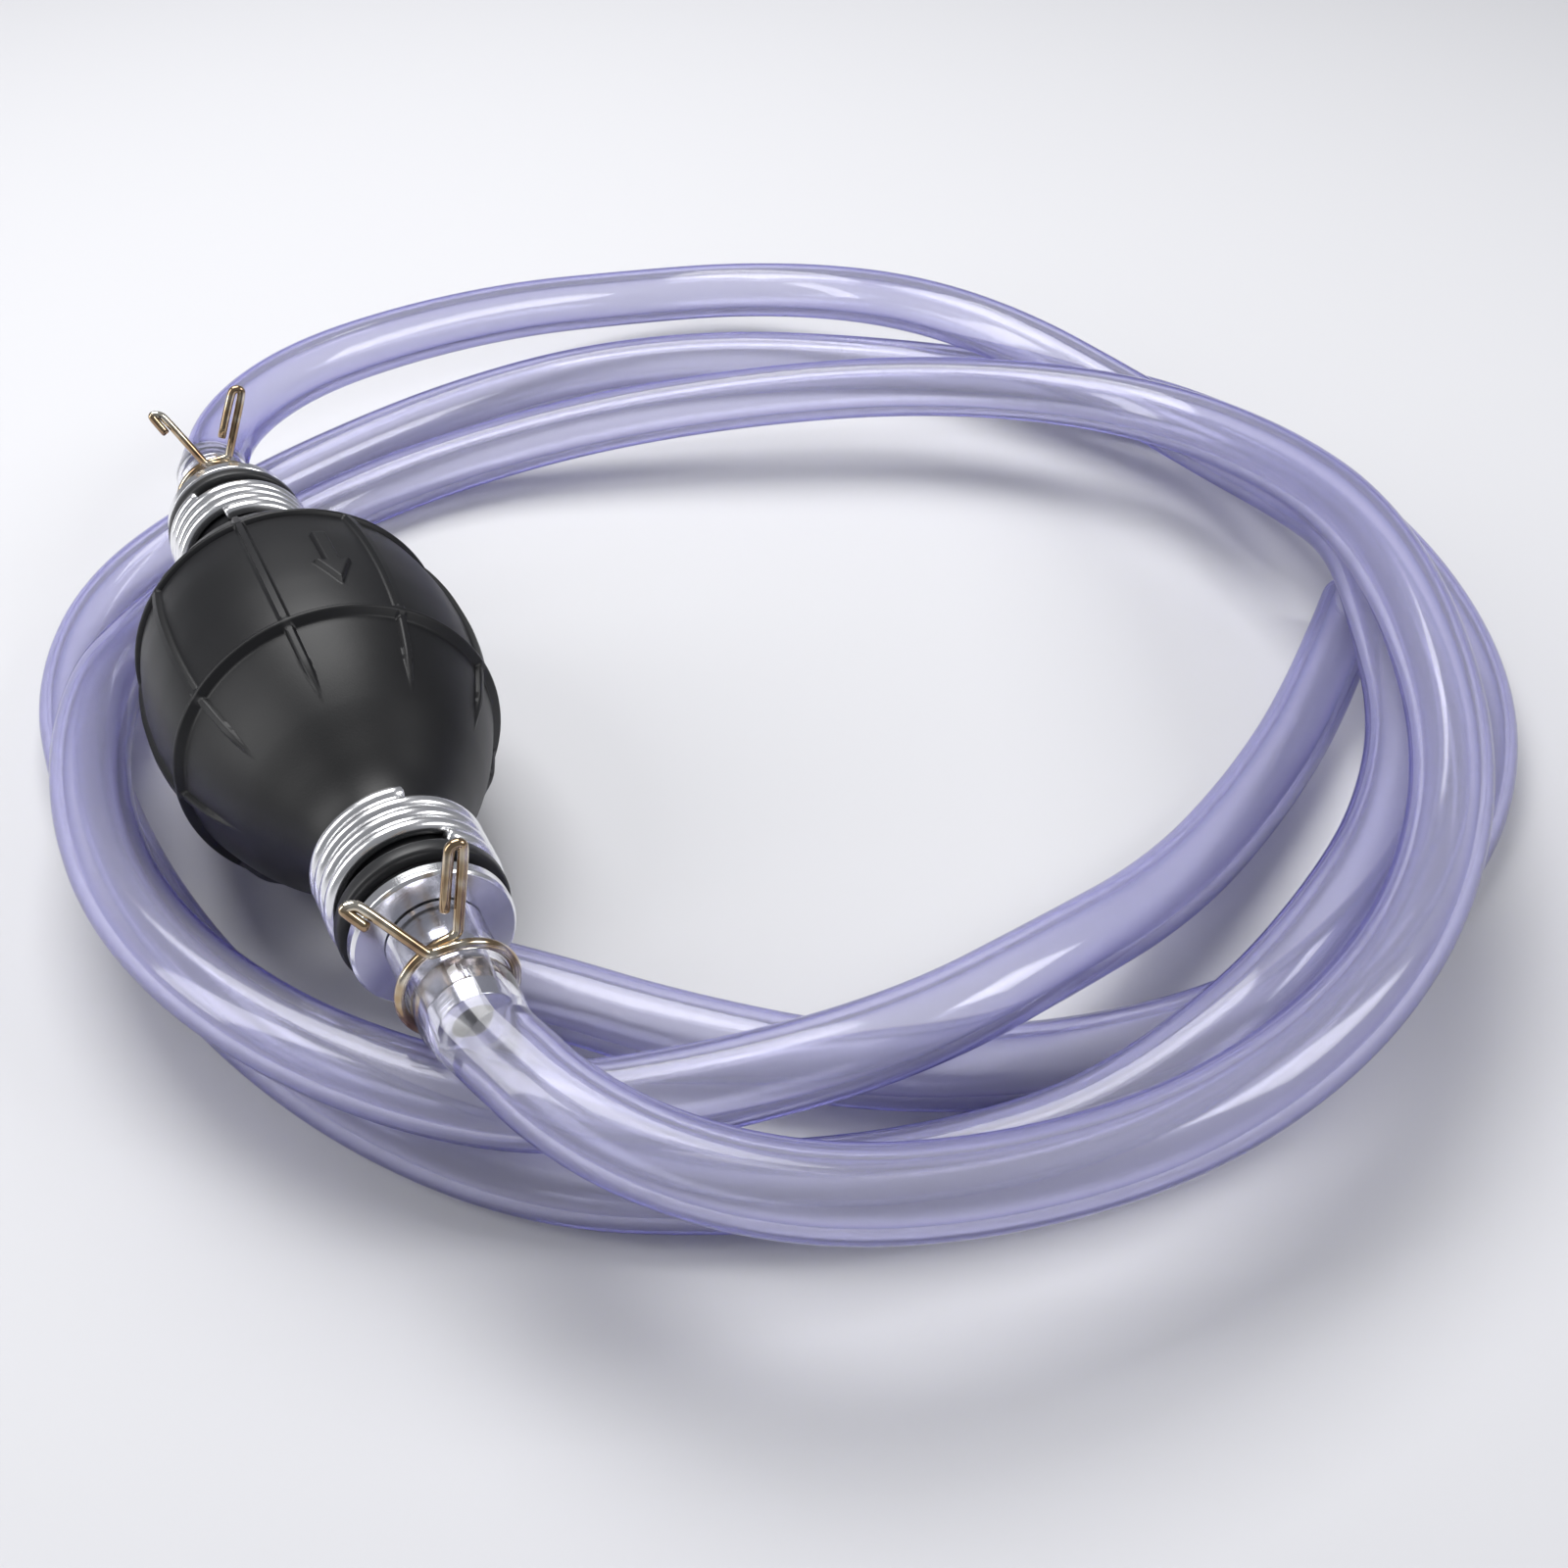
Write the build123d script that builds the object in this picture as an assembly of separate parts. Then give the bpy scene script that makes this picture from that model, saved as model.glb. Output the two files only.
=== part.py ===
from build123d import *
import math, os

os.makedirs("parts", exist_ok=True)

# Hand priming pump for siphoning water: a rubber squeeze bulb with a spring
# check valve in each end, and a clear hose on each barb. Millimetres.
# Origin on the floor under the middle of the bulb, +Z up, +Y from the outlet
# end to the inlet end. The pump leans a little, outlet end up, on its hose.

TILT = 3.5            # lean of the pump axis, degrees
AXIS_Z = 25.92        # height of the pump axis at the middle of the bulb
HOSE_OD, HOSE_ID = 12.0, 8.0
WALL = 2.5            # rubber wall of the bulb
RIB_H, RIB_W = 0.7, 1.9
RIB_COUNT, RIB_FIRST = 9, -49.0
RING_S = 15.5         # where the two moulded rings sit, each side of the middle
NECK_IN, NECK_END = 42.0, 58.6
GASKET = (10.15, 12.0, 55.9, 58.4)     # inner r, outer r, from, to
COIL_WIRE, COIL_R, COIL_FROM, COIL_TO = 2.3, 11.2, 44.3, 54.6
COIL_TURNS = 3.95
FLANGE_R, FLANGE_FROM, FLANGE_TO = 11.3, 60.0, 62.5
BARB_END = 80.0
CHAMBER_R, BORE_R = 5.6, 2.6
CLIP_WIRE, CLIP_R = 1.3, 7.65
CLIP_OUT_S, CLIP_IN_S = 72.4, 70.0
VALVE_OUT_S, VALVE_IN_S = 44.0, -60.0  # inner face of each valve seat, along the axis

CT, ST = math.cos(math.radians(TILT)), math.sin(math.radians(TILT))
# local z runs along the pump axis toward the outlet, local y points up
AXIS = Plane(origin=(0, 0, AXIS_Z), x_dir=(1, 0, 0), z_dir=(0, -CT, ST))


def place(shape):
    return AXIS.location * shape


def end_for_end(shape):
    # the inlet end is the outlet end turned half a turn about the upright
    return Rot(0, 180, 0) * shape


def turned(points):
    # solid of revolution about local z from (r, s) points
    face = make_face(Polyline(*[(r, 0, s) for r, s in points], close=True))
    return revolve(face, Axis.Z)


def ring(r_in, r_out, s0, s1):
    return turned([(r_in, s0), (r_out, s0), (r_out, s1), (r_in, s1)])


def at(r, deg, s):
    # angle measured from straight up toward +X
    a = math.radians(deg)
    return (r * math.sin(a), r * math.cos(a), s)


def wire_along(points, radii, wire_d):
    path = FilletPolyline(*points, radius=radii)
    profile = Plane(origin=path @ 0, z_dir=path % 0) * Circle(wire_d / 2)
    return sweep(profile, path=path)


def corner_radii(points, share=0.45, cap=None):
    out = []
    for a, b, c in zip(points, points[1:], points[2:]):
        va, vb = Vector(*b) - Vector(*a), Vector(*c) - Vector(*b)
        half = math.radians(va.get_angle(vb)) / 2
        r = share * min(va.length, vb.length) / math.tan(half)
        out.append(min(r, cap) if cap else r)
    return out


def keep(shape, name, label_all=[]):
    label_all.append(name)
    export_step(shape, f"parts/{name}.step")
    print(f"{name:24s} {shape.volume:10.1f} mm3")


# ---- bulb: one thin moulded shell, ribs and arrow raised on it -------------
BULB = [(25.4, 0), (25.15, 7), (23.9, 15.5), (21.6, 22), (18.0, 29), (14.2, 35), (11.2, 40), (10.15, 44)]


def bulb_solid(extra):
    half = [(r + extra, s) for r, s in BULB]
    pts = [(r, 0, -s) for r, s in reversed(half[1:])] + [(r, 0, s) for r, s in half]
    side = Spline(*pts, tangents=[(0.15, 0, 1), (-0.15, 0, 1)])
    r_end = half[-1][0]
    edge = [side, Line((r_end, 0, 44), (r_end, 0, NECK_END)), Line((r_end, 0, NECK_END), (0, 0, NECK_END)),
            Line((0, 0, NECK_END), (0, 0, -NECK_END)), Line((0, 0, -NECK_END), (r_end, 0, -NECK_END)),
            Line((r_end, 0, -NECK_END), (r_end, 0, -44))]
    return revolve(make_face(Wire(edge)), Axis.Z)


outer = bulb_solid(0)
inner = bulb_solid(-WALL)
raised = bulb_solid(RIB_H)
bulb = outer
for s in (-RING_S, RING_S):
    bulb += raised & ring(0.01, 40, s - RIB_W / 2, s + RIB_W / 2)
for k in range(RIB_COUNT):
    # a rib is cut from the thicker skin by a blade with tapered ends
    blade = Polyline((-RIB_W / 2, -24), (-0.3, -29), (0.3, -29), (RIB_W / 2, -24),
                     (RIB_W / 2, 24), (0.3, 29), (-0.3, 29), (-RIB_W / 2, 24), close=True)
    blade = Plane(origin=(0, 15, 0), x_dir=(1, 0, 0), z_dir=(0, 1, 0)) * make_face(blade)
    blade = extrude(blade, amount=14)
    bulb += Rot(0, 0, -(RIB_FIRST + 360 / RIB_COUNT * k)) * (raised & blade)
# flow arrow, pointing to the outlet
arrow_pts = [(-1.15, -5.5), (1.15, -5.5), (1.15, 3.6), (2.7, 3.2), (0, 9.2), (-2.7, 3.2), (-1.15, 3.6)]
arrow = Plane(origin=(0, 20, 0), x_dir=(1, 0, 0), z_dir=(0, 1, 0)) * make_face(
    Polyline(*[(x, -s) for x, s in arrow_pts], close=True))
arrow = extrude(arrow, amount=8) & bulb_solid(0.45)
bulb += Rot(0, 0, -14) * arrow
bulb -= inner
bulb = place(bulb)
keep(bulb, "bulb")

# ---- end fitting: hollow plug, flange, hub and three-ridge hose barb --------
fit_outer = [(0, 44), (7.3, 44), (7.62, 45), (7.62, 47), (7.3, 47.6), (7.3, 50), (7.62, 50.4), (7.62, 52.4),
             (7.3, 53), (7.3, 58.6), (8.4, 58.6), (8.4, 60), (FLANGE_R - 0.4, 60), (FLANGE_R, 60.4),
             (FLANGE_R, 62.1), (FLANGE_R - 0.4, 62.5), (5.0, 62.5), (5.0, 64.0), (5.2, 64.6), (4.7, 67.6),
             (4.7, 68.2), (5.2, 68.8), (4.7, 71.8), (4.7, 72.4), (5.2, 73.0), (4.7, 76.0), (4.7, 76.6),
             (5.2, 77.2), (4.7, BARB_END), (0, BARB_END)]
body = turned(fit_outer) - Cylinder(CHAMBER_R, 16, align=(Align.CENTER, Align.CENTER, Align.MIN)).moved(Pos(0, 0, 44))
body -= Cylinder(BORE_R, 30, align=(Align.CENTER, Align.CENTER, Align.MIN)).moved(Pos(0, 0, 55))
keep(place(body), "outlet_fitting")
keep(place(end_for_end(body)), "inlet_fitting")

gasket = turned([(GASKET[0], GASKET[2]), (GASKET[1] - 0.5, GASKET[2]), (GASKET[1], GASKET[2] + 0.5),
                 (GASKET[1], GASKET[3] - 0.5), (GASKET[1] - 0.5, GASKET[3]), (GASKET[0], GASKET[3])])
keep(place(gasket), "outlet_gasket")
keep(place(end_for_end(gasket)), "inlet_gasket")

# ---- neck coil: close-wound wire binding the neck onto the plug -------------
pitch = (COIL_TO - COIL_FROM) / COIL_TURNS
helix = Pos(0, 0, COIL_FROM) * Helix(pitch, COIL_TO - COIL_FROM, COIL_R)
section = Plane(origin=helix @ 0, z_dir=helix % 0) * Circle(COIL_WIRE / 2)
coil = sweep(section, path=helix, is_frenet=True)
coil = Rot(0, 0, 78) * coil
keep(place(coil), "outlet_neck_coil")
keep(place(end_for_end(coil)), "inlet_neck_coil")

# ---- spring hose clip: one wire, ring with a short overlap and two ears -----
def clip(turn):
    # ring from the left ear round to the right ear, 28 degrees of overlap,
    # as a many-cornered path whose corners are all rounded to the ring's size
    n = 22
    r_corner = CLIP_R / math.cos(math.radians(388 / n / 2))
    pts = []
    # left ear: cut end, back along the ear, over the tip, down to the ring
    left_base, left_tip = at(CLIP_R + 0.6, -21, 0.75), at(18.6, -31, -3.0)
    right_base, right_tip = at(CLIP_R + 0.6, 9, -0.75), at(20.6, 13, -3.2)

    def between(a, b, t, dx=0.0):
        return (a[0] + (b[0] - a[0]) * t + dx, a[1] + (b[1] - a[1]) * t, a[2] + (b[2] - a[2]) * t)

    pts += [between(left_base, left_tip, 0.66, -2.0), between(left_base, left_tip, 0.93, -2.0),
            between(left_base, left_tip, 1.0, -1.0), between(left_base, left_tip, 0.93, 0)]
    pts.append(left_base)
    for k in range(1, n):
        pts.append(at(r_corner, -21 + 390 * k / n, 0.75 - 1.5 * k / n))
    pts.append(right_base)
    pts += [between(right_base, right_tip, 0.94, 0), between(right_base, right_tip, 1.0, -1.0),
            between(right_base, right_tip, 0.94, -2.0), between(right_base, right_tip, 0.32, -2.0)]
    radii = corner_radii(pts)
    solid = wire_along(pts, radii, CLIP_WIRE)
    return Rot(0, 0, -turn) * solid


keep(place(Pos(0, 0, CLIP_OUT_S) * clip(0)), "outlet_clip")
keep(place(Pos(0, 0, -CLIP_IN_S) * clip(11)), "inlet_clip")

# ---- check valves: the same set in each end, both opening toward the outlet -
def valve(side, s):
    seat = ring(BORE_R, CHAMBER_R, 0, 2.5)
    washer = ring(1.6, 4.2, 2.5, 3.3)
    poppet = turned([(0, 2.55), (1.55, 2.55), (1.55, 3.3), (4.4, 3.3), (4.4, 4.3), (1.6, 4.9), (1.0, 6.0), (1.0, 14.6),
                     (0, 15.0)])
    guide = ring(1.25, CHAMBER_R, 12.5, 14.0)
    for k in range(3):
        guide -= Rot(0, 0, 120 * k) * (Pos(3.3, 0, 12) * Cylinder(1.25, 3, align=(Align.CENTER, Align.CENTER, Align.MIN)))
    coil_h = 12.3 - 5.1
    h = Pos(0, 0, 5.1) * Helix(coil_h / 5, coil_h, 2.3)
    sp = sweep(Plane(origin=h @ 0, z_dir=h % 0) * Circle(0.2), path=h, is_frenet=True)
    for name, shape in (("seat", seat), ("washer", washer), ("poppet", poppet), ("guide", guide), ("spring", sp)):
        keep(place(Pos(0, 0, s) * shape), f"{side}_valve_{name}")


valve("outlet", VALVE_OUT_S)
valve("inlet", VALVE_IN_S)

# ---- hoses: the route is straight runs joined by tangent arcs ---------------
def on_axis(s):
    return (0.0, -s * CT, AXIS_Z + s * ST)


OUTLET_ROUTE = [
    on_axis(62.8), on_axis(84),
    (9, -104.4, 30.2), (25.7, -119.2, 28.4), (49, -127, 26.2), (76, -129.3, 25), (104, -123.5, 24.6),
    (130, -110, 24.8), (150, -90.5, 28.3), (165, -64, 31), (175, -37, 30.8), (180, -10, 26), (177, 16, 22),
    (164, 38, 19.6), (140, 57, 18), (110, 70.5, 16), (78, 82, 12), (47, 88, 7), (19.5, 82.6, 6),
    (-3.5, 70.8, 6), (-21.5, 50.5, 9.6), (-31, 27, 17.9), (-37.5, 0, 18.6), (-36, -30, 18.6),
    (-22.5, -60.5, 18.6), (1.5, -85.6, 17.9), (29, -93.5, 18.6), (55, -96, 18.9), (79, -91.5, 17),
    (106.5, -82.5, 10), (133, -69, 6.4), (160, -52, 6), (184.5, -32, 6),
]
INLET_ROUTE = [
    on_axis(-62.8), on_axis(-83),
    (9, 102, 20.2), (26.5, 115.5, 20), (51, 123, 19), (78, 129, 16), (105, 131, 12), (129.5, 125, 11.5),
    (148, 109, 14), (159, 87, 18), (169, 64, 18.6), (180, 42, 14), (189.5, 20, 9.5), (191, -5, 12.5),
    (184, -29, 19.2), (172, -52, 18.4), (159, -73, 17), (141, -90, 17), (120, -103, 18.6),
    (97, -112.5, 17), (73, -114, 9.5), (50, -109, 6.2), (26, -100.5, 6), (3, -88, 6), (-15, -66, 6),
    (-27.5, -39, 6), (-34.5, -10, 6), (-37, 19, 6), (-35.5, 46.5, 6), (-24, 72, 6), (-1.5, 89, 6),
    (26, 101.3, 6), (57, 110.5, 6), (88, 113, 6), (118, 105.5, 6), (144, 90, 6), (167, 72, 6),
    (189, 52, 6), (202, 26, 6), (205, -3, 6), (200, -35, 6), (186, -65, 6), (163, -88, 6), (134, -101, 6),
    (104, -106, 6), (76, -101.5, 6), (50, -90, 6), (29, -72, 6), (13, -54.5, 6), (-1, -41.5, 6),
]
HOSE_START = 62.8


def hose(name, pts, flip):
    radii = corner_radii(pts)
    runs = [(Vector(*b) - Vector(*a)).length for a, b in zip(pts, pts[1:])]
    path = FilletPolyline(*pts, radius=radii)
    ends = Plane(origin=path @ 0, z_dir=path % 0)
    solid = sweep(ends * (Circle(HOSE_OD / 2) - Circle(HOSE_ID / 2)), path=path)
    want = math.pi / 4 * (HOSE_OD**2 - HOSE_ID**2) * path.length
    print(f"{name}: length {path.length:.0f} mm, runs {min(runs):.0f}-{max(runs):.0f} mm, volume/section*length "
          f"{solid.volume / want:.4f}")
    print("  radii", [round(r) for r in radii])
    # stretched over the barb: wider outside, the barb's own size inside
    bell = turned([(5.5, HOSE_START), (6.85, HOSE_START), (6.85, 71.4), (6.0, 73.0), (5.5, 73.0)])
    room = turned([(0, HOSE_START - 1), (5.22, HOSE_START - 1), (5.22, 71.4), (4.0, 72.8), (0, 72.8)])
    if flip:
        bell, room = end_for_end(bell), end_for_end(room)
    solid = solid + place(bell) - place(room)
    keep(solid, name)


hose("outlet_hose", OUTLET_ROUTE, False)
hose("inlet_hose", INLET_ROUTE, True)
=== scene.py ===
# %% [markdown]
# # A squeeze-bulb siphon pump with two clear hoses
# The frame holds the exact solids of the pump. This file dresses them: first the camera and the two hoses,
# then the rubber bulb, the metal ends, the wire pieces and the valves inside. Every length is in metres and
# every piece stands where the frame has it.

# %% Load the frame
import bpy, math
from mathutils import Matrix, Vector


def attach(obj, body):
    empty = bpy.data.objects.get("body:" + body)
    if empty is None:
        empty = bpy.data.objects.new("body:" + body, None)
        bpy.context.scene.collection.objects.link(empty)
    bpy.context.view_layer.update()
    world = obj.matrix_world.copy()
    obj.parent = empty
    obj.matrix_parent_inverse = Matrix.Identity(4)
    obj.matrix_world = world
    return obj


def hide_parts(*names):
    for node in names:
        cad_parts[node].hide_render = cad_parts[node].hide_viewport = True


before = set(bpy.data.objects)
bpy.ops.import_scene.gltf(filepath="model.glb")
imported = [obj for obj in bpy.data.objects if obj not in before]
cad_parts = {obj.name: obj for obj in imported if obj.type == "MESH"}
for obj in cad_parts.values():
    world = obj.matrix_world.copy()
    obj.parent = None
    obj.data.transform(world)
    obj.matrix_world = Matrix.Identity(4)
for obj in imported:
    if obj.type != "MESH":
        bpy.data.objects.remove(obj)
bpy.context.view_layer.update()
scene = bpy.context.scene
MM = 0.001

# %% [markdown]
# ## The pump's own axis
# The pump lies tilted by a few degrees, which leaves room for the hose under its outlet end. Each turned piece is
# easier to make upright, along its own Z, so one matrix carries it into place. In it Z runs toward the outlet and Y
# points up. Object coordinates then follow the axis too, which the turned metal's marks need.

# %% Pump axis
TILT = math.radians(3.5)
AXIS_HEIGHT = 25.92 * MM
AXIS = Matrix(((1, 0, 0, 0),
               (0, math.sin(TILT), -math.cos(TILT), 0),
               (0, math.cos(TILT), math.sin(TILT), AXIS_HEIGHT),
               (0, 0, 0, 1)))
END_FOR_END = Matrix.Rotation(math.pi, 4, "Y")


def on_axis(s):
    return AXIS @ Vector((0, 0, s * MM))


print("outlet barb end at", [round(c, 4) for c in on_axis(80)])

# %% [markdown]
# ## Camera
# The view is from above and in front of the outlet end. A 40.5 mm lens on a 36 mm sensor, about 30 cm away,
# gives the strong perspective of a small thing seen close.

# %% Camera
camera = bpy.data.objects.new("camera", bpy.data.cameras.new("camera"))
scene.collection.objects.link(camera)
camera.location = (-28.8 * MM, -226.5 * MM, 200.8 * MM)
camera.rotation_euler = (math.radians(48.16), 0, math.radians(-26.0))
camera.data.lens, camera.data.sensor_width = 40.5, 36
camera.data.clip_start = 0.01
scene.camera = camera
print("camera is", round(camera.location.length, 3), "m from the origin")

# %% [markdown]
# ## Colours and nodes
# Colours are written as the hex values a paint chart gives. The renderer works in linear light, so one
# function converts them. A second small function adds any node with its settings and its links.

# %% Helpers for materials
def colour(hex_value):
    srgb = [int(hex_value[i:i + 2], 16) / 255 for i in (1, 3, 5)]
    return tuple(c / 12.92 if c <= 0.04045 else ((c + 0.055) / 1.055) ** 2.4 for c in srgb) + (1,)


def node(mat, kind, inputs=(), **settings):
    made = mat.node_tree.nodes.new(kind)
    for name, value in settings.items():
        setattr(made, name, value)
    for name, value in dict(inputs).items():
        if isinstance(value, bpy.types.NodeSocket):
            mat.node_tree.links.new(value, made.inputs[name])
        else:
            made.inputs[name].default_value = value
    return made


def material(name, **sockets):
    mat = bpy.data.materials.new(name)
    mat.use_nodes = True
    shader = mat.node_tree.nodes["Principled BSDF"]
    for socket, value in sockets.items():
        shader.inputs[socket.replace("_", " ")].default_value = value
    return mat, shader


def link(mat, a, b):
    mat.node_tree.links.new(a, b)


print("black rubber in linear light:", [round(c, 4) for c in colour("#131316")[:3]])

# %% [markdown]
# ## Helpers for meshes
# Most pieces are rings of points joined into a skin. A lathe turns a profile of (radius, place) points. Long
# wires and hoses carry a ring along a line of points.

# %% Helpers for meshes
def piece(name, verts, faces, mat, body, cad, matrix=None, sharp=None):
    mesh = bpy.data.meshes.new(name)
    mesh.from_pydata(verts, [], faces)
    mesh.validate()
    mesh.polygons.foreach_set("use_smooth", [True] * len(mesh.polygons))
    if sharp:
        mesh.set_sharp_from_angle(angle=math.radians(sharp))
    obj = bpy.data.objects.new(name, mesh)
    scene.collection.objects.link(obj)
    obj.data.materials.append(mat)
    if matrix:
        obj.matrix_world = matrix
    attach(obj, body)
    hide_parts(cad)
    return obj


def skin(rows, close_rows=False):
    # rows of equal length, each closed round; the last row may join the first
    n = len(rows[0])
    verts = [p for row in rows for p in row]
    faces = []
    for i in range(len(rows) if close_rows else len(rows) - 1):
        a, b = i * n, (i + 1) % len(rows) * n
        faces += [(a + k, a + (k + 1) % n, b + (k + 1) % n, b + k) for k in range(n)]
    return verts, faces


def unit_circle(around):
    return [(math.cos(2 * math.pi * k / around), math.sin(2 * math.pi * k / around)) for k in range(around)]


def lathe(profile, around=128):
    # profile is a closed loop of (r, s) in millimetres, round the local Z
    turn = unit_circle(around)
    return skin([[(r * x * MM, r * y * MM, s * MM) for x, y in turn] for r, s in profile], close_rows=True)


def smooth(t):
    t = max(0.0, min(1.0, t))
    return t * t * (3 - 2 * t)


print("a lathe of 4 points has", len(lathe([(1, 0), (2, 0), (2, 1), (1, 1)])[1]), "faces")

# %% [markdown]
# ## Clear hose: flexible PVC
# Siphon hose is extruded clear PVC, slightly milky, with a violet cast that gathers where the wall is seen
# edge-on. The tube is modelled hollow, so light bends at each of its four surfaces, and the wall absorbs a
# little of it. That alone leaves the edges too pale, so the base colour also turns indigo at a glancing angle.
# PVC's own index is about 1.53. The plain hose uses 1.45, which weakens the white reflection at its edges.

# %% Clear PVC
pvc, shader = material("clear_flexible_pvc_extruded", Roughness=0.1, IOR=1.45)
shader.inputs["Transmission Weight"].default_value = 0.86
edge = node(pvc, "ShaderNodeLayerWeight", {"Blend": 0.5})
cast = node(pvc, "ShaderNodeValToRGB", {"Fac": edge.outputs["Facing"]})
cast.color_ramp.elements[0].position, cast.color_ramp.elements[0].color = 0.1, colour("#FBFBFF")
cast.color_ramp.elements[1].position, cast.color_ramp.elements[1].color = 0.86, colour("#4C46C2")
body_tint = cast.color_ramp.elements.new(0.5)
body_tint.color = colour("#E9E8FD")
link(pvc, cast.outputs["Color"], shader.inputs["Base Color"])
depth = node(pvc, "ShaderNodeVolumeAbsorption", {"Color": colour("#9893F4"), "Density": 75.0})
link(pvc, depth.outputs["Volume"], pvc.node_tree.nodes["Material Output"].inputs["Volume"])
place = node(pvc, "ShaderNodeTexCoord")
haze = node(pvc, "ShaderNodeTexNoise", {"Vector": place.outputs["Object"], "Scale": 60.0, "Detail": 2.0})
lift = node(pvc, "ShaderNodeBump", {"Height": haze.outputs["Fac"], "Strength": 0.05, "Distance": 0.0004})
link(pvc, lift.outputs["Normal"], shader.inputs["Normal"])
# stretched over the barb the wall is thinner, and clearer, so the metal shows through it
thin_pvc, shader = material("clear_flexible_pvc_stretched", Base_Color=colour("#F8F8FE"), Roughness=0.03, IOR=1.53)
shader.inputs["Transmission Weight"].default_value = 1.0
place = node(thin_pvc, "ShaderNodeTexCoord")
haze = node(thin_pvc, "ShaderNodeTexNoise", {"Vector": place.outputs["Object"], "Scale": 90.0, "Detail": 2.0})
lift = node(thin_pvc, "ShaderNodeBump", {"Height": haze.outputs["Fac"], "Strength": 0.03, "Distance": 0.0004})
link(thin_pvc, lift.outputs["Normal"], shader.inputs["Normal"])
print(thin_pvc.name, "lets through", shader.inputs["Transmission Weight"].default_value)

# %% [markdown]
# ## The two hoses
# Each hose is one long flexible tube of 12 mm outside and 8 mm inside, laid in loose loops round the pump. Its
# route is a NURBS line of order 3, which passes smoothly near its control points, as a springy tube does. At the
# barb the hose is straight and stretched: it stands wider outside, and the barb fills it. The tube is a
# mesh, because a curve's bevel can't be hollow.

# %% Hose routes
def route(side, points):
    first = [on_axis(s) for s in ((62.8, 84) if side == "outlet" else (-62.8, -83))]
    return first + [Vector(p) * MM for p in points]


OUTLET_ROUTE = route("outlet", [
    (9, -104.4, 30.2), (25.7, -119.2, 28.4), (49, -127, 26.2), (76, -129.3, 25), (104, -123.5, 24.6),
    (130, -110, 24.8), (150, -90.5, 28.3), (165, -64, 31), (175, -37, 30.8), (180, -10, 26), (177, 16, 22),
    (164, 38, 19.6), (140, 57, 18), (110, 70.5, 16), (78, 82, 12), (47, 88, 7), (19.5, 82.6, 6),
    (-3.5, 70.8, 6), (-21.5, 50.5, 9.6), (-31, 27, 17.9), (-37.5, 0, 18.6), (-36, -30, 18.6),
    (-22.5, -60.5, 18.6), (1.5, -85.6, 17.9), (29, -93.5, 18.6), (55, -96, 18.9), (79, -91.5, 17),
    (106.5, -82.5, 10), (133, -69, 6.4), (160, -52, 6), (184.5, -32, 6),
])
INLET_ROUTE = route("inlet", [
    (9, 102, 20.2), (26.5, 115.5, 20), (51, 123, 19), (78, 129, 16), (105, 131, 12), (129.5, 125, 11.5),
    (148, 109, 14), (159, 87, 18), (169, 64, 18.6), (180, 42, 14), (189.5, 20, 9.5), (191, -5, 12.5),
    (184, -29, 19.2), (172, -52, 18.4), (159, -73, 17), (141, -90, 17), (120, -103, 18.6),
    (97, -112.5, 17), (73, -114, 9.5), (50, -109, 6.2), (26, -100.5, 6), (3, -88, 6), (-15, -66, 6),
    (-27.5, -39, 6), (-34.5, -10, 6), (-37, 19, 6), (-35.5, 46.5, 6), (-24, 72, 6), (-1.5, 89, 6),
    (26, 101.3, 6), (57, 110.5, 6), (88, 113, 6), (118, 105.5, 6), (144, 90, 6), (167, 72, 6),
    (189, 52, 6), (202, 26, 6), (205, -3, 6), (200, -35, 6), (186, -65, 6), (163, -88, 6), (134, -101, 6),
    (104, -106, 6), (76, -101.5, 6), (50, -90, 6), (29, -72, 6), (13, -54.5, 6), (-1, -41.5, 6),
])
print("control points:", len(OUTLET_ROUTE), "and", len(INLET_ROUTE))

# %% The line a hose follows
def smooth_line(points, steps=10):
    data = bpy.data.curves.new("line", "CURVE")
    data.dimensions = "3D"
    spline = data.splines.new("NURBS")
    spline.points.add(len(points) - 1)
    for p, at in zip(spline.points, points):
        p.co = (*at, 1)
    spline.order_u = 3
    spline.use_endpoint_u = True
    data.resolution_u = steps
    holder = bpy.data.objects.new("line", data)
    mesh = bpy.data.meshes.new_from_object(holder)
    line = [v.co.copy() for v in mesh.vertices]
    bpy.data.objects.remove(holder)
    bpy.data.curves.remove(data)
    bpy.data.meshes.remove(mesh)
    return line


def frames_along(line):
    # a pair of side vectors at each point that turns with the line and doesn't twist
    out, side = [], None
    for i, p in enumerate(line):
        ahead = (line[min(i + 1, len(line) - 1)] - line[max(i - 1, 0)]).normalized()
        if side is None:
            side = ahead.orthogonal()
        side = (side - ahead * side.dot(ahead)).normalized()
        out.append((p, side, ahead.cross(side)))
    return out


def length_of(line):
    return sum((b - a).length for a, b in zip(line, line[1:]))


# %% Make the hoses
HOSE_R, HOSE_BORE, BELL_R, BARB_R = 6.0, 4.0, 6.85, 5.3
MOUTH = 62.8         # where the hose begins, from the middle of the pump
BARB_LENGTH = 17.2   # from the hose's mouth to the end of the barb
STRAIGHT, EASE = 13, 14   # the barb holds the hose straight, then it eases into its route


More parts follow.
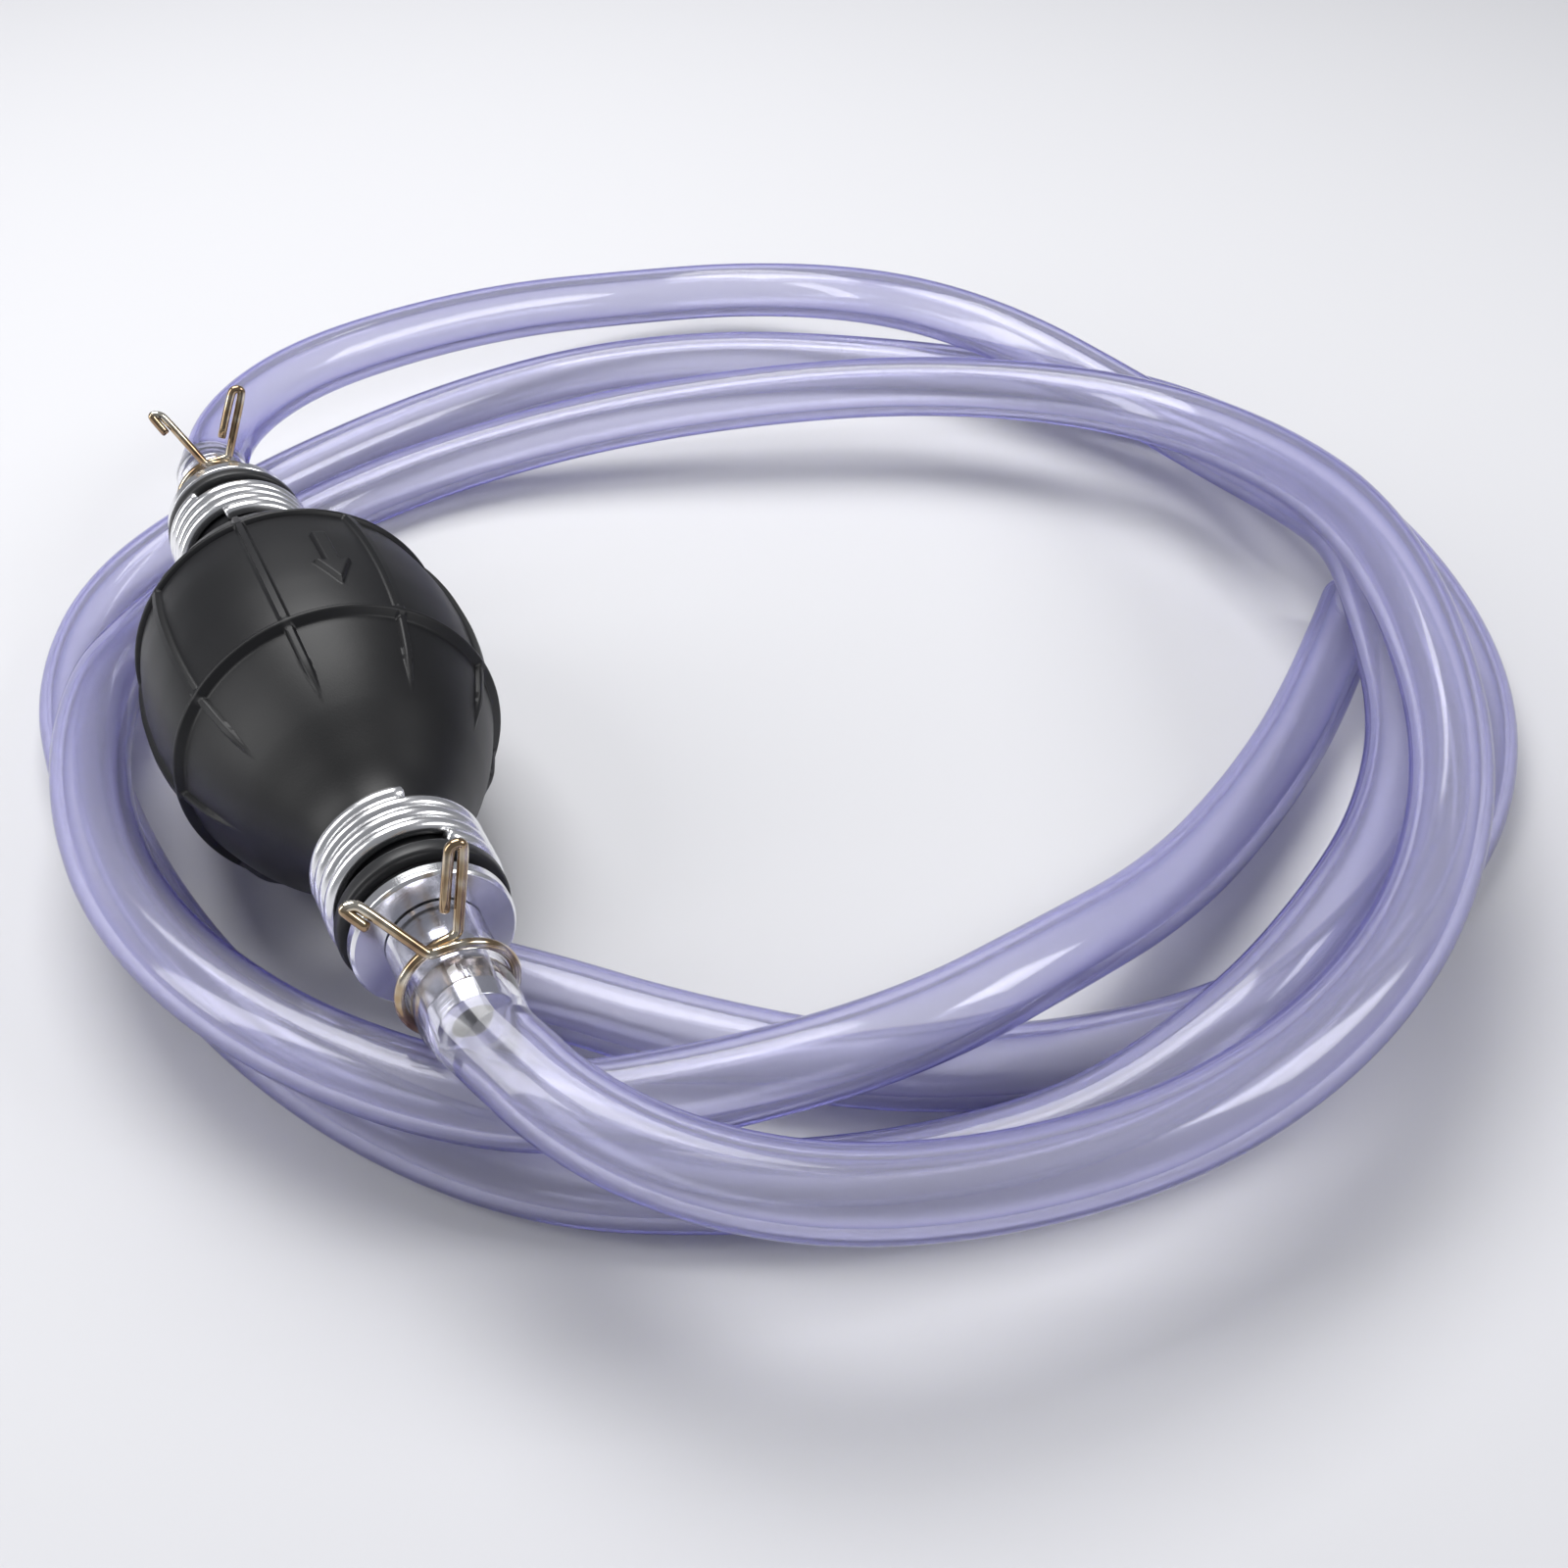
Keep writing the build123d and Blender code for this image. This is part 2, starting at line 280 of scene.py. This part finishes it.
def make_hose(side, points):
    line = smooth_line(points)
    sign = 1 if side == "outlet" else -1
    walked, gone = [0.0], 0.0
    for a, b in zip(line, line[1:]):
        gone += (b - a).length
        walked.append(gone)
    # the barb is rigid and holds the first stretch on its own axis
    centres = []
    for d, p in zip(walked, line):
        t = smooth((d / MM - STRAIGHT) / EASE)
        centres.append(on_axis(sign * (MOUTH + d / MM)).lerp(p, t))
    outer, inner = [], []
    ring = unit_circle(40)
    for d, (p, u, v) in zip(walked, frames_along(centres)):
        t = smooth((d / MM - BARB_LENGTH + 1.5) / 5)
        r_out = (BELL_R + (HOSE_R - BELL_R) * t) * MM
        r_in = (BARB_R + (HOSE_BORE - BARB_R) * smooth((d / MM - BARB_LENGTH) / 4)) * MM
        outer.append([p + u * (c * r_out) + v * (s * r_out) for c, s in ring])
        inner.append([p + u * (c * r_in) + v * (s * r_in) for c, s in ring])
    verts, faces = skin(outer + inner[::-1], close_rows=True)
    obj = piece(side + "_clear_hose", verts, faces, pvc, "pump", side + "_hose", sharp=50)
    obj.data.materials.append(thin_pvc)
    stretched = sum(1 for d in walked if d / MM < BARB_LENGTH + 1) * len(ring)
    last = len(obj.data.polygons) - 1
    for face in obj.data.polygons:
        if face.index < stretched or face.index >= last - stretched:
            face.material_index = 1
    print(f"{side} hose {gone:.3f} m, {len(faces)} faces")
    return obj


make_hose("outlet", OUTLET_ROUTE)
make_hose("inlet", INLET_ROUTE)

# %% [markdown]
# ## Moulded rubber
# The bulb is compression-moulded black rubber. The mould gives it a soft satin skin: dark, with a broad grey
# sheen and no sharp reflection. Bloom and handling make the sheen a little uneven.

# %% Black moulded rubber
rubber, shader = material("black_rubber_moulded_satin", IOR=1.52, Specular_IOR_Level=0.36)
place = node(rubber, "ShaderNodeTexCoord")
bloom = node(rubber, "ShaderNodeTexNoise", {"Vector": place.outputs["Object"], "Scale": 55.0, "Detail": 4.0})
tone = node(rubber, "ShaderNodeValToRGB", {"Fac": bloom.outputs["Fac"]})
tone.color_ramp.elements[0].position, tone.color_ramp.elements[1].position = 0.35, 0.7
tone.color_ramp.elements[0].color = colour("#0B0B0D")
tone.color_ramp.elements[1].color = colour("#131316")
link(rubber, tone.outputs["Color"], shader.inputs["Base Color"])
sheen = node(rubber, "ShaderNodeMapRange", {"Value": bloom.outputs["Fac"], "To Min": 0.4, "To Max": 0.52})
link(rubber, sheen.outputs["Result"], shader.inputs["Roughness"])
# mould grain of about 0.3 mm
grain = node(rubber, "ShaderNodeTexNoise", {"Vector": place.outputs["Object"], "Scale": 3300.0, "Detail": 2.0})
lift = node(rubber, "ShaderNodeBump", {"Height": grain.outputs["Fac"], "Strength": 0.12, "Distance": 0.0001})
link(rubber, lift.outputs["Normal"], shader.inputs["Normal"])

gasket_rubber, shader = material("black_rubber_gasket", Base_Color=colour("#1E1E20"), Roughness=0.42, IOR=1.52)
place = node(gasket_rubber, "ShaderNodeTexCoord")
grain = node(gasket_rubber, "ShaderNodeTexNoise", {"Vector": place.outputs["Object"], "Scale": 1200.0})
lift = node(gasket_rubber, "ShaderNodeBump", {"Height": grain.outputs["Fac"], "Strength": 0.15, "Distance": 0.0001})
link(gasket_rubber, lift.outputs["Normal"], shader.inputs["Normal"])
print("rubber:", rubber.name, gasket_rubber.name)

# %% [markdown]
# ## The bulb
# The bulb is one shell with a neck at each end. Two rings and nine long ribs stand on it, and a small arrow
# shows the flow. Separate rib pieces would leave hard seams, so the skin is one fine grid, and a height is added
# to each point: a rib then swells out of the skin with the small fillets that a mould leaves.

# %% Bulb shape
# (place, radius) along half the bulb, in millimetres
BULB = [(0, 25.4), (7, 25.15), (15.5, 23.9), (22, 21.6), (29, 18.0), (35, 14.2), (40, 11.2), (44, 10.15),
        (58.6, 10.15)]
NECK_END, WALL = 58.6, 2.5
RIB_ANGLES = [-49 + 40 * k for k in range(9)]
ARROW_ANGLE = 14
ARROW = [(-1.15, -5.5), (1.15, -5.5), (1.15, 3.6), (2.7, 3.2), (0, 9.2), (-2.7, 3.2), (-1.15, 3.6)]


def bulb_radius(s):
    s = abs(s)
    for i in range(len(BULB) - 1):
        (s0, r0), (s1, r1) = BULB[i], BULB[i + 1]
        if s <= s1:
            def slope(j):
                if j == 0 or j >= len(BULB) - 2:
                    return 0
                return (BULB[j + 1][1] - BULB[j - 1][1]) / (BULB[j + 1][0] - BULB[j - 1][0])
            h, t = s1 - s0, (s - s0) / (s1 - s0)
            return ((2 * t**3 - 3 * t**2 + 1) * r0 + (t**3 - 2 * t**2 + t) * h * slope(i)
                    + (3 * t**2 - 2 * t**3) * r1 + (t**3 - t**2) * h * slope(i + 1))
    return BULB[-1][1]


def inside_distance(x, y, shape):
    # distance in from the edge of a flat shape, negative outside it
    best, inside = 1e9, False
    for (ax, ay), (bx, by) in zip(shape, shape[1:] + shape[:1]):
        t = max(0, min(1, ((x - ax) * (bx - ax) + (y - ay) * (by - ay)) / ((bx - ax) ** 2 + (by - ay) ** 2)))
        best = min(best, math.hypot(x - ax - t * (bx - ax), y - ay - t * (by - ay)))
        if (ay > y) != (by > y) and x < (bx - ax) * (y - ay) / (by - ay) + ax:
            inside = not inside
    return best if inside else -best


def relief(s, degrees, r):
    ring = smooth((0.8 - abs(abs(s) - 15.5)) / 0.45) * 0.9
    near = min(((degrees - a + 180) % 360 - 180 for a in RIB_ANGLES), key=abs)
    taper = smooth((29 - abs(s)) / 7)
    rib = smooth((0.3 + 0.5 * taper - abs(math.radians(near)) * r) / 0.35) * 0.8 * taper
    arrow = 0
    if abs(s) < 12 and abs(degrees - ARROW_ANGLE) < 12:
        arrow = 0.75 * smooth(inside_distance(math.radians(degrees - ARROW_ANGLE) * r, s, ARROW) / 0.35 + 0.5)
    # the end panels lie a little lower than the middle one; all of these are millimetres
    step = 0.4 * smooth((abs(s) - 15.6) / 0.8) * smooth((30 - abs(s)) / 12)
    return max(ring, rib, arrow) - step


# %% Make the bulb
AROUND = 720
stations = [-NECK_END + 0.9 * i for i in range(28)] + [-33 + 0.3 * i for i in range(221)]
stations += [NECK_END - 0.9 * i for i in range(28)][::-1]
rows = []
for s in sorted(set(round(v, 3) for v in stations)):
    r, row = bulb_radius(s), []
    for k in range(AROUND):
        degrees = -180 + 360 * k / AROUND
        radius = (r + (relief(s, degrees, r) if abs(s) < 30 else 0)) * MM
        a = math.radians(degrees)
        row.append((radius * math.sin(a), radius * math.cos(a), s * MM))
    rows.append(row)
# the inside wall, down the neck and back, closes the shell
for i in range(60):
    s = NECK_END - 2 * NECK_END * i / 59
    r = max(bulb_radius(s) - WALL, 7.65) * MM
    rows.append([(r * math.sin(math.radians(-180 + 360 * k / AROUND)),
                  r * math.cos(math.radians(-180 + 360 * k / AROUND)), s * MM) for k in range(AROUND)])
verts, faces = skin(rows, close_rows=True)
# the tilt is put in the points themselves, so that the bulb's box is measured upright
verts = [AXIS @ Vector(p) for p in verts]
piece("rubber_bulb", verts, faces, rubber, "pump", "bulb", sharp=60)
print("bulb", len(faces), "faces")

# %% [markdown]
# ## Turned aluminium
# The barbed ends are turned from aluminium bar. The lathe tool leaves fine rings round the axis, and the
# reflections stretch across them into bright and dark bands. A metal's colour is its reflection, so the base is
# near white, and a bump that varies only along the axis gives the rings.

# %% Turned aluminium and drawn wire
def metal(name, base, rough, along_scale, strength):
    mat, shader = material(name, Base_Color=colour(base), Metallic=1.0, Roughness=rough)
    place = node(mat, "ShaderNodeTexCoord")
    squash = node(mat, "ShaderNodeMapping", {"Vector": place.outputs["Object"], "Scale": (30, 30, along_scale)})
    marks = node(mat, "ShaderNodeTexNoise", {"Vector": squash.outputs["Vector"], "Scale": 1.0, "Detail": 3.0})
    wear = node(mat, "ShaderNodeMapRange", {"Value": marks.outputs["Fac"], "To Min": rough * 0.7,
                                            "To Max": rough * 1.5})
    link(mat, wear.outputs["Result"], shader.inputs["Roughness"])
    lift = node(mat, "ShaderNodeBump", {"Height": marks.outputs["Fac"], "Strength": strength, "Distance": 0.00008})
    link(mat, lift.outputs["Normal"], shader.inputs["Normal"])
    return mat, shader


# tool marks about 0.15 mm apart; wire scratches are finer
aluminium, _ = metal("aluminium_turned_bright", "#F1F1F3", 0.17, 6500, 0.25)
wire_steel, _ = metal("steel_wire_drawn_bright", "#F2F2F3", 0.21, 2500, 0.12)
seat_steel, _ = metal("stainless_turned", "#BFC0C4", 0.25, 6500, 0.2)
spring_wire, _ = metal("stainless_spring_wire", "#B8B9BC", 0.22, 2500, 0.1)
print("metals ready")

# %% [markdown]
# ## Barbed ends
# Each end is a hollow plug with a flange, a stepped hub and three ridges that the hose is pushed over. It is a
# shape of revolution, so it is lathed from one closed profile. A small bevel on each corner catches a line
# of light, as a deburred edge does.

# %% Barbed ends and gaskets
FITTING = [(5.6, 44), (7.3, 44), (7.62, 45), (7.62, 47), (7.3, 47.6), (7.3, 50), (7.62, 50.4), (7.62, 52.4),
           (7.3, 53), (7.3, 58.6), (8.4, 58.6), (8.4, 60), (10.9, 60), (11.3, 60.4), (11.3, 62.1), (10.9, 62.5),
           (5.0, 62.5), (5.0, 64.0), (5.2, 64.6), (4.7, 67.6), (4.7, 68.2), (5.2, 68.8), (4.7, 71.8), (4.7, 72.4),
           (5.2, 73.0), (4.7, 76.0), (4.7, 76.6), (5.2, 77.2), (4.7, 80), (2.6, 80), (2.6, 60), (5.6, 60)]
GASKET = [(10.15, 55.9), (11.5, 55.9), (11.85, 56.05), (12.0, 56.4), (12.0, 57.9), (11.85, 58.25), (11.5, 58.4),
          (10.15, 58.4)]


def soften(obj, width):
    bevel = obj.modifiers.new("edges", "BEVEL")
    bevel.width, bevel.segments, bevel.limit_method = width * MM, 2, "ANGLE"
    bevel.angle_limit = math.radians(30)
    return obj


for side, turn in (("outlet", AXIS), ("inlet", AXIS @ END_FOR_END)):
    verts, faces = lathe(FITTING, 160)
    end = piece(side + "_barbed_end", verts, faces, aluminium, "pump", side + "_fitting", turn,
                sharp=35)
    soften(end, 0.08)
    verts, faces = lathe(GASKET, 128)
    piece(side + "_rubber_ring", verts, faces, gasket_rubber, "pump", side + "_gasket", turn,
          sharp=50)
    print(side, "end made")

# %% [markdown]
# ## Wire pieces
# The neck coil is bright spring wire wound close round the neck, with both cut ends showing. The hose clip is
# one wire too: an ear, a ring with a short overlap, and a second ear. Each is a round section carried along a
# line of points. The coil's line is a true helix. The clip's line is a NURBS that rounds its corners.

# %% Wire helper
def wire(name, line, diameter, mat, body, cad, matrix, around=20):
    r = diameter / 2 * MM
    ring = unit_circle(around)
    rows = [[p + u * (c * r) + v * (s * r) for c, s in ring] for p, u, v in frames_along(line)]
    # the sawn ends are closed with a small chamfer
    for i, inward in ((0, 1), (-1, -1)):
        centre = line[i]
        step = (line[i] - line[i + inward]).normalized() * (0.12 * diameter * MM)
        cap = [[centre + (q - centre) * f + step for q in rows[i]] for f in (0.78, 0.02)]
        rows = cap[::-1] + rows if i == 0 else rows + cap
    verts, faces = skin(rows)
    n = len(verts)
    faces += [tuple(range(around))[::-1], tuple(range(n - around, n))]
    return piece(name, verts, faces, mat, body, cad, matrix, sharp=50)


def polar(r, degrees, s):
    a = math.radians(degrees)
    return Vector((r * math.sin(a), r * math.cos(a), s)) * MM


# %% Neck coils
COIL_R, COIL_FROM, COIL_TO, COIL_TURNS = 11.2, 44.3, 54.6, 3.95
coil_line = []
for i in range(241):
    t = i / 240
    coil_line.append(polar(COIL_R, 12 - 360 * COIL_TURNS * t, COIL_FROM + (COIL_TO - COIL_FROM) * t))
for side, turn in (("outlet", AXIS), ("inlet", AXIS @ END_FOR_END)):
    wire(side + "_wire_binding", coil_line, 2.36, wire_steel, "pump", side + "_neck_coil", turn)
print("coil wire", round(length_of(coil_line), 3), "m each")

# %% [markdown]
# ## Yellow zinc plate
# The clips are spring steel with a yellow chromate over zinc. The film is thin and uneven, so it runs from pale
# straw through dull gold to a coppery brown. A slow noise drives that change of colour over a clean metal.

# %% Yellow zinc
zinc, shader = material("spring_steel_yellow_zinc", Metallic=1.0, Roughness=0.14)
place = node(zinc, "ShaderNodeTexCoord")
film = node(zinc, "ShaderNodeTexNoise", {"Vector": place.outputs["Object"], "Scale": 170.0, "Detail": 2.0})
tone = node(zinc, "ShaderNodeValToRGB", {"Fac": film.outputs["Fac"]})
stops = tone.color_ramp.elements
stops[0].position, stops[0].color = 0.32, colour("#7A5648")
stops[1].position, stops[1].color = 0.68, colour("#EFEADB")
middle = stops.new(0.5)
middle.color = colour("#B39C7C")
link(zinc, tone.outputs["Color"], shader.inputs["Base Color"])
fine = node(zinc, "ShaderNodeTexNoise", {"Vector": place.outputs["Object"], "Scale": 2200.0})
lift = node(zinc, "ShaderNodeBump", {"Height": fine.outputs["Fac"], "Strength": 0.1, "Distance": 0.00005})
link(zinc, lift.outputs["Normal"], shader.inputs["Normal"])
print("film colours:", len(stops))

# %% Hose clips
CLIP_R, CLIP_WIRE, RING_STEPS = 7.65, 1.45, 22


def clip_line():
    corner = CLIP_R / math.cos(math.radians(390 / RING_STEPS / 2))
    left, left_tip = polar(CLIP_R + 0.6, -21, 0.75), polar(18.6, -31, -3.0)
    right, right_tip = polar(CLIP_R + 0.6, 9, -0.75), polar(20.6, 13, -3.2)

    def ear(base, tip, t, aside=0.0):
        return base.lerp(tip, t) + Vector((aside * MM, 0, 0))

    points = [ear(left, left_tip, 0.66, -2.0), ear(left, left_tip, 0.93, -2.0), ear(left, left_tip, 1.02, -1.7),
              ear(left, left_tip, 1.02, -0.3), ear(left, left_tip, 0.93), ear(left, left_tip, 0.5),
              ear(left, left_tip, 0.12), left]
    points += [polar(corner, -21 + 390 * k / RING_STEPS, 0.75 - 1.5 * k / RING_STEPS) for k in range(1, RING_STEPS)]
    points += [right, ear(right, right_tip, 0.12), ear(right, right_tip, 0.5), ear(right, right_tip, 0.93),
               ear(right, right_tip, 1.02, -0.3), ear(right, right_tip, 1.02, -1.7),
               ear(right, right_tip, 0.93, -2.0), ear(right, right_tip, 0.32, -2.0)]
    return smooth_line(points, 8)


for side, place_s, turned in (("outlet", 72.4, 0), ("inlet", -70.0, 11)):
    turn = AXIS @ Matrix.Translation((0, 0, place_s * MM)) @ Matrix.Rotation(math.radians(-turned), 4, "Z")
    wire(side + "_spring_clip", clip_line(), CLIP_WIRE, zinc, side + "_hose_clip", side + "_clip",
         turn, around=16)
print("clip wire", round(length_of(clip_line()), 3), "m each")

# %% [markdown]
# ## The valves inside
# A sprung poppet of white acetal closes on a steel seat in each end. They are hidden in the pump, and their exact
# solids are already right, so they stay as they are and only take a finish. Acetal is a slightly waxy
# plastic, moulded smooth.

# %% Finishes for the valves
acetal, shader = material("white_acetal_moulded", Base_Color=colour("#E9E8E3"), Roughness=0.35, IOR=1.48)
place = node(acetal, "ShaderNodeTexCoord")
flow = node(acetal, "ShaderNodeTexNoise", {"Vector": place.outputs["Object"], "Scale": 400.0, "Detail": 2.0})
lift = node(acetal, "ShaderNodeBump", {"Height": flow.outputs["Fac"], "Strength": 0.1, "Distance": 0.0001})
link(acetal, lift.outputs["Normal"], shader.inputs["Normal"])
FINISHES = {"seat": seat_steel, "washer": gasket_rubber, "poppet": acetal, "guide": acetal, "spring": spring_wire}
for side in ("outlet", "inlet"):
    for part, finish in FINISHES.items():
        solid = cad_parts[f"{side}_valve_{part}"]
        if not solid.material_slots:
            solid.data.materials.append(finish)
        for slot in solid.material_slots:
            slot.material = finish
print("finished", 2 * len(FINISHES), "valve pieces")

# %% [markdown]
# ## Floor and light
# A pale matte sheet under the pump, one large soft light above, a strip at the left for long highlights in the
# hoses, and a weaker fill from the right keep the black rubber readable.

# %% Floor, lights and surroundings
floor_mesh = bpy.data.meshes.new("floor")
floor_mesh.from_pydata([(-4, -4, 0), (4, -4, 0), (4, 4, 0), (-4, 4, 0)], [], [(0, 1, 2, 3)])
floor = bpy.data.objects.new("floor", floor_mesh)
scene.collection.objects.link(floor)
sheet, _ = material("pale_matte_sheet", Base_Color=colour("#D6D6D9"), Roughness=0.85)
floor.data.materials.append(sheet)


def soft_light(name, at, size, power, size_y=None):
    data = bpy.data.lights.new(name, "AREA")
    data.energy, data.size = power, size
    if size_y:
        data.shape, data.size_y = "RECTANGLE", size_y
    lamp = bpy.data.objects.new(name, data)
    scene.collection.objects.link(lamp)
    lamp.location = at
    aim = Vector((0.05, 0, 0.02)) - Vector(at)
    lamp.rotation_euler = aim.to_track_quat("-Z", "Y").to_euler()


soft_light("key_above", (0.05, 0.3, 0.7), 0.5, 5.2)
soft_light("strip_left", (-0.6, 0.1, 0.4), 0.2, 2.4, 0.7)
soft_light("fill_right", (0.6, -0.35, 0.5), 0.3, 1.8)
world = bpy.data.worlds.new("studio")
scene.world = world
world.use_nodes = True
world.node_tree.nodes["Background"].inputs["Color"].default_value = (0.8, 0.82, 0.88, 1)
world.node_tree.nodes["Background"].inputs["Strength"].default_value = 0.3
scene.view_settings.view_transform = "Standard"

# %% The end
bpy.context.view_layer.update()
